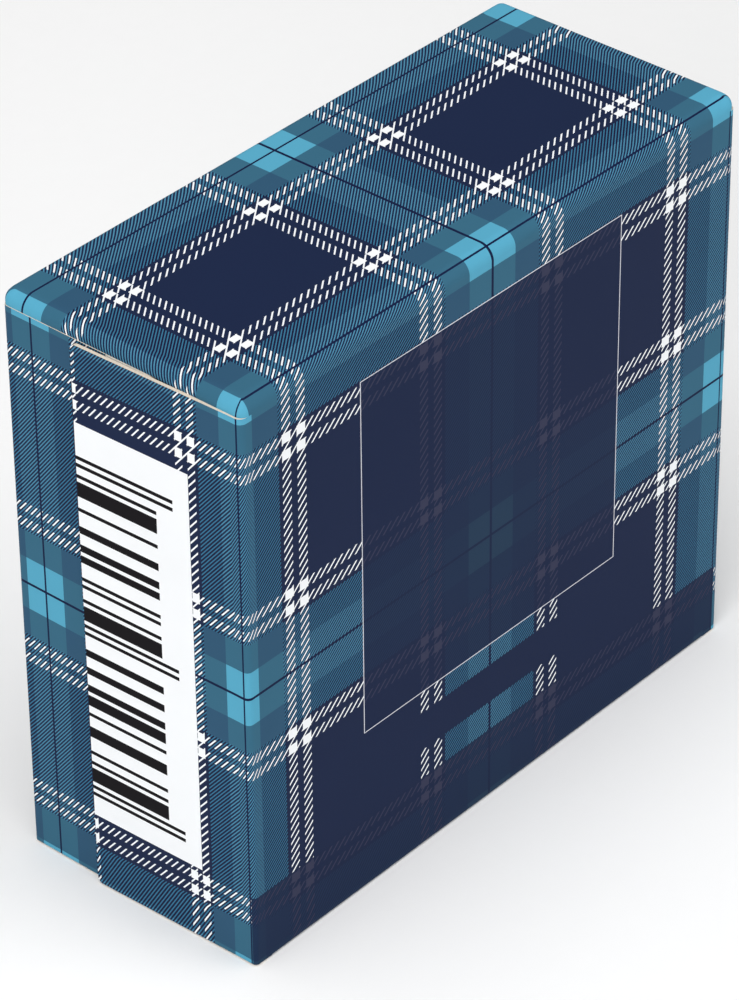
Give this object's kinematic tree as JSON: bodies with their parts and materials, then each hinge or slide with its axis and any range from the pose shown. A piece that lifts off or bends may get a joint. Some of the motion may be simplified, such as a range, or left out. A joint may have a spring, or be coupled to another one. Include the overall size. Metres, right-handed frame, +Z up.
{
  "type": "tailors chalk",
  "caption": "Pack of flat blue tailor's chalk plates standing in a small glued folding carton, with hinged flaps at both ends and a tartan print.",
  "frame": {"origin": "middle of the carton's base, on the surface it stands on", "axes": "+X along the front panel, +Y from the front panel to the back panel, +Z up"},
  "size_m": [0.0564, 0.023, 0.05],
  "materials": {
    "printed_board": "printed folding boxboard with a satin varnish",
    "dried_glue": "dried dispersion adhesive",
    "blue_chalk": "pressed chalk, dry and powdery"
  },
  "bodies": {
    "carton": {"carton_sleeve": "printed_board", "side_seam_glue": "dried_glue"},
    "left_outer_flap": {"left_outer_flap": "printed_board"},
    "left_inner_flap": {"left_inner_flap": "printed_board", "left_end_glue": "dried_glue"},
    "left_top_dust_flap": {"left_top_dust_flap": "printed_board", "left_top_dust_glue": "dried_glue"},
    "left_bottom_dust_flap": {"left_bottom_dust_flap": "printed_board", "left_bottom_dust_glue": "dried_glue"},
    "right_outer_flap": {"right_outer_flap": "printed_board"},
    "right_inner_flap": {"right_inner_flap": "printed_board", "right_end_glue": "dried_glue"},
    "right_top_dust_flap": {"right_top_dust_flap": "printed_board", "right_top_dust_glue": "dried_glue"},
    "right_bottom_dust_flap": {"right_bottom_dust_flap": "printed_board", "right_bottom_dust_glue": "dried_glue"},
    "chalk_1": {"chalk_1": "blue_chalk"},
    "chalk_2": {"chalk_2": "blue_chalk"},
    "chalk_3": {"chalk_3": "blue_chalk"},
    "chalk_4": {"chalk_4": "blue_chalk"},
    "chalk_5": {"chalk_5": "blue_chalk"}
  },
  "joints": [
    {"name": "left_outer_flap_hinge", "type": "hinge", "parent": "carton", "child": "left_outer_flap", "pos_m": [-0.02775, -0.0103, 0.025], "axis": [0, 0, 1], "range_deg": [0, 170]},
    {"name": "left_inner_flap_hinge", "type": "hinge", "parent": "carton", "child": "left_inner_flap", "pos_m": [-0.02765, 0.0103, 0.025], "axis": [0, 0, -1], "range_deg": [0, 76.5]},
    {"name": "left_top_dust_flap_hinge", "type": "hinge", "parent": "carton", "child": "left_top_dust_flap", "pos_m": [-0.02727, 0, 0.0488], "axis": [0, 1, 0], "range_deg": [0, 59.5]},
    {"name": "left_bottom_dust_flap_hinge", "type": "hinge", "parent": "carton", "child": "left_bottom_dust_flap", "pos_m": [-0.02727, 0, 0.0012], "axis": [0, -1, 0], "range_deg": [0, 59.5]},
    {"name": "right_outer_flap_hinge", "type": "hinge", "parent": "carton", "child": "right_outer_flap", "pos_m": [0.02775, -0.0103, 0.025], "axis": [0, 0, -1], "range_deg": [0, 170]},
    {"name": "right_inner_flap_hinge", "type": "hinge", "parent": "carton", "child": "right_inner_flap", "pos_m": [0.02765, 0.0103, 0.025], "axis": [0, 0, 1], "range_deg": [0, 76.5]},
    {"name": "right_top_dust_flap_hinge", "type": "hinge", "parent": "carton", "child": "right_top_dust_flap", "pos_m": [0.02727, 0, 0.0488], "axis": [0, -1, 0], "range_deg": [0, 59.5]},
    {"name": "right_bottom_dust_flap_hinge", "type": "hinge", "parent": "carton", "child": "right_bottom_dust_flap", "pos_m": [0.02727, 0, 0.0012], "axis": [0, 1, 0], "range_deg": [0, 59.5]},
    {"name": "chalk_1_slide", "type": "slide", "parent": "carton", "child": "chalk_1", "axis": [1, 0, 0], "range_m": [-0.0006, 0.0006]},
    {"name": "chalk_2_slide", "type": "slide", "parent": "carton", "child": "chalk_2", "axis": [1, 0, 0], "range_m": [-0.0006, 0.0006]},
    {"name": "chalk_3_slide", "type": "slide", "parent": "carton", "child": "chalk_3", "axis": [1, 0, 0], "range_m": [-0.0006, 0.0006]},
    {"name": "chalk_4_slide", "type": "slide", "parent": "carton", "child": "chalk_4", "axis": [1, 0, 0], "range_m": [-0.0006, 0.0006]},
    {"name": "chalk_5_slide", "type": "slide", "parent": "carton", "child": "chalk_5", "axis": [1, 0, 0], "range_m": [-0.0006, 0.0006]}
  ],
  "couplings": [
    {"joint": "left_inner_flap_hinge", "follows": "left_outer_flap_hinge", "ratio": 0.45},
    {"joint": "left_top_dust_flap_hinge", "follows": "left_outer_flap_hinge", "ratio": 0.35},
    {"joint": "left_bottom_dust_flap_hinge", "follows": "left_outer_flap_hinge", "ratio": 0.35},
    {"joint": "right_inner_flap_hinge", "follows": "right_outer_flap_hinge", "ratio": 0.45},
    {"joint": "right_top_dust_flap_hinge", "follows": "right_outer_flap_hinge", "ratio": 0.35},
    {"joint": "right_bottom_dust_flap_hinge", "follows": "right_outer_flap_hinge", "ratio": 0.35}
  ]
}
